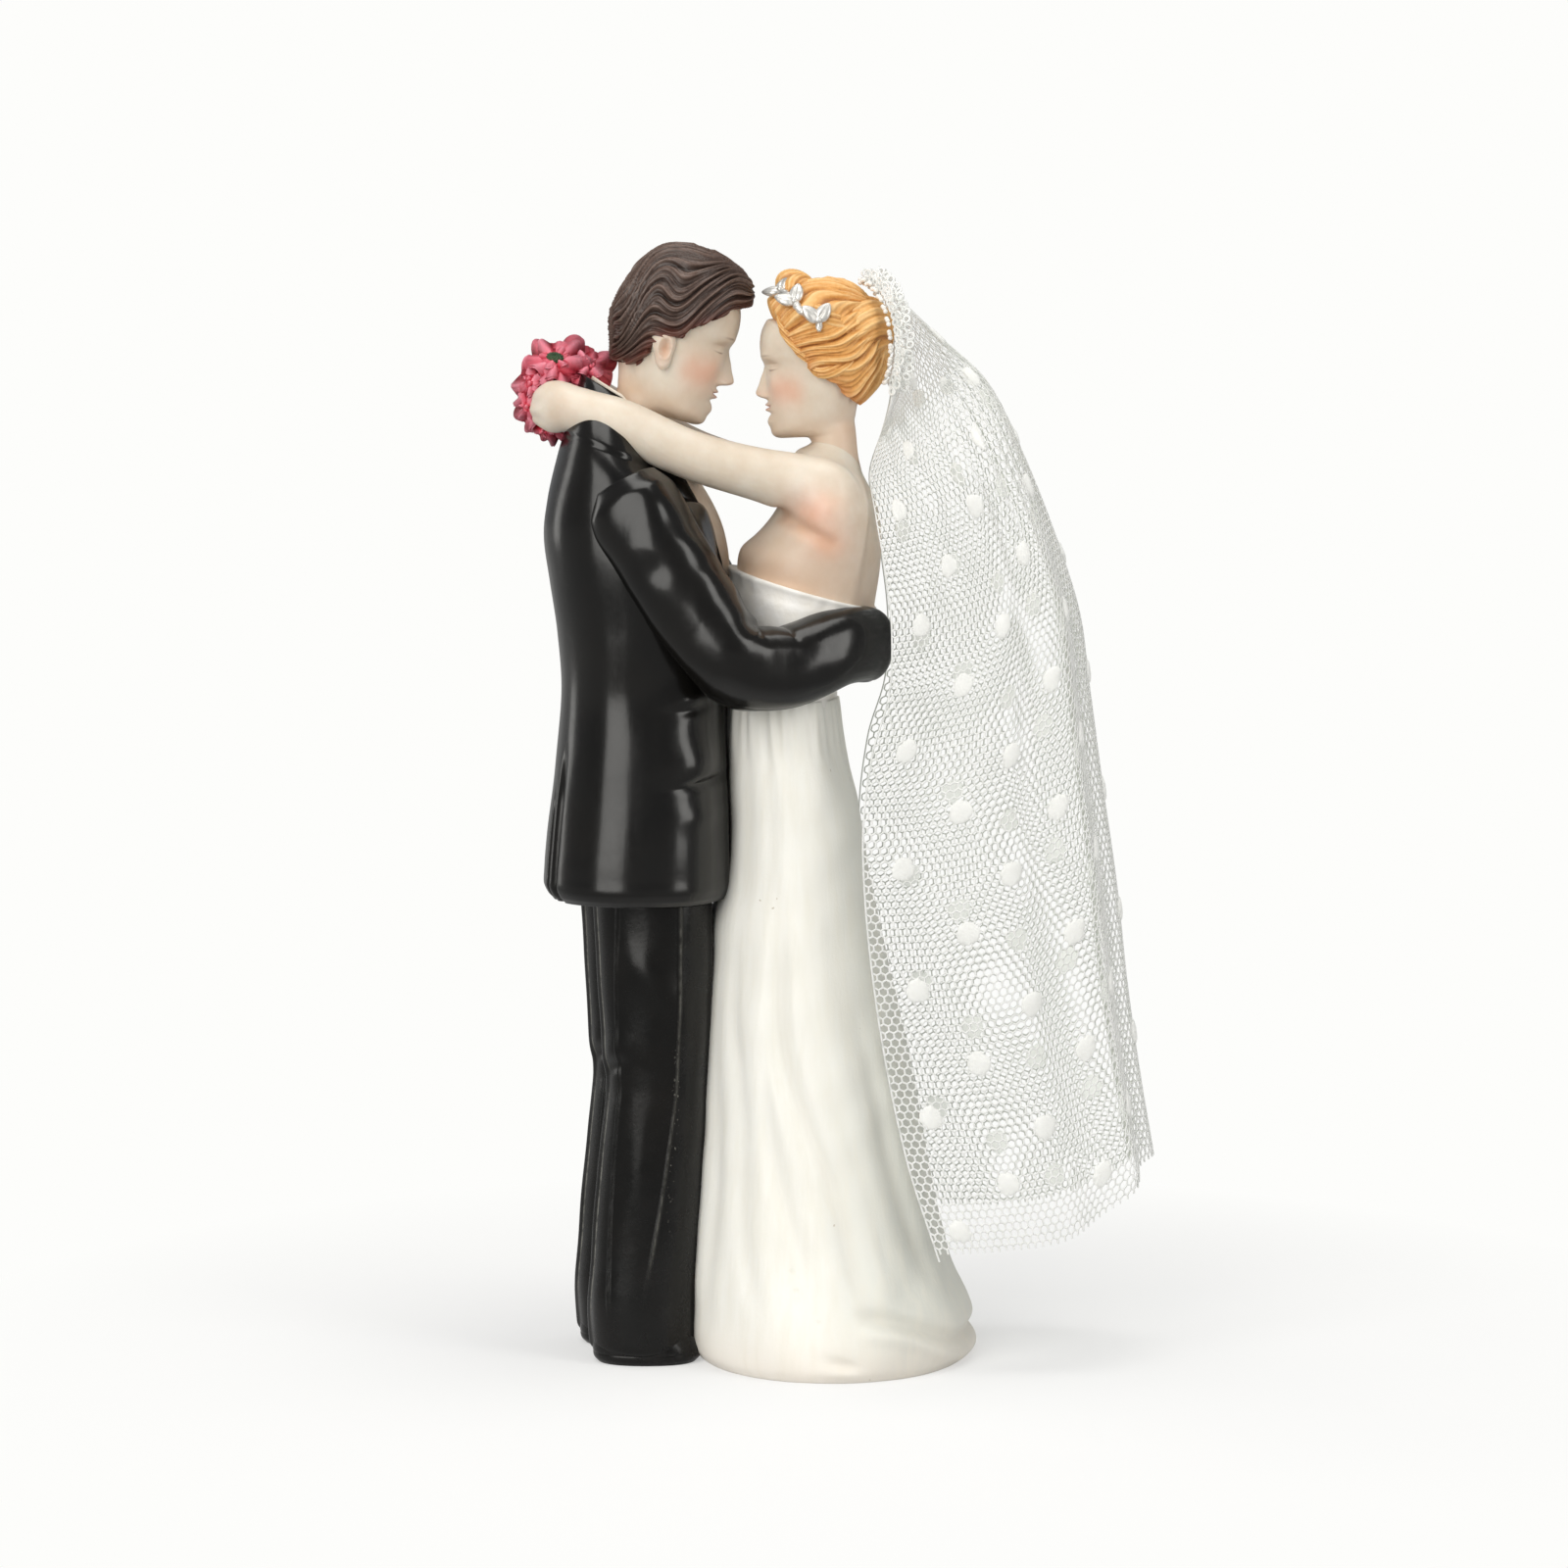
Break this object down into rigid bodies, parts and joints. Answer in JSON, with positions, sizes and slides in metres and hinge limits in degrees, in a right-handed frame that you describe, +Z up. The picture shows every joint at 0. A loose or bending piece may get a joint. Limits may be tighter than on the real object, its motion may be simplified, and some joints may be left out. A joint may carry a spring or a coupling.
{
  "type": "wedding cake topper",
  "caption": "Embracing wedding couple in painted resin with a bouquet and a gathered net veil, to stand on top of a cake.",
  "frame": {"origin": "on the ground plane under the middle of the whole topper's bounding box", "axes": "+Z up; +X from the groom towards the bride; -Y towards the side seen in the picture"},
  "size_m": [0.0862, 0.0436, 0.1497],
  "materials": {
    "suit": "glossy black paint on cast resin",
    "trousers": "semi-gloss black paint on cast resin",
    "shoes": "polished black paint on cast resin",
    "skin": "satin ivory paint with a soft blush",
    "shirt": "satin ivory paint",
    "dark_hair": "satin dark brown paint, darker in the grooves",
    "fair_hair": "satin golden paint, browner in the grooves",
    "gown": "pearly ivory-white paint",
    "silver": "bright silver paint",
    "petals": "satin crimson paint shading to pink at the rims",
    "leaves": "matte dark green paint",
    "net": "white hexagonal net with small flock dots"
  },
  "bodies": {
    "root": {"groom_trousers": "trousers", "groom_shoe_near": "shoes", "groom_shoe_far": "shoes", "groom_jacket": "suit", "groom_sleeve_near": "suit", "groom_sleeve_far": "suit", "groom_shirt": "shirt", "groom_bow_tie": "suit", "groom_hand_near": "skin", "groom_hand_far": "skin", "groom_head": "skin", "groom_hair": "dark_hair", "bride_skirt": "gown", "bride_bodice": "gown", "bride_shoulders": "skin", "bride_arm_near": "skin", "bride_arm_far": "skin", "bride_head": "skin", "bride_hair": "fair_hair", "tiara": "silver", "bouquet_stems": "leaves", "bloom_large": "petals", "bloom_side": "petals", "bloom_upper": "petals", "bloom_middle": "petals", "bloom_lower": "petals", "bloom_far": "petals", "bloom_eye": "leaves", "veil_ruffle": "net", "veil": "net"}
  },
  "joints": []
}
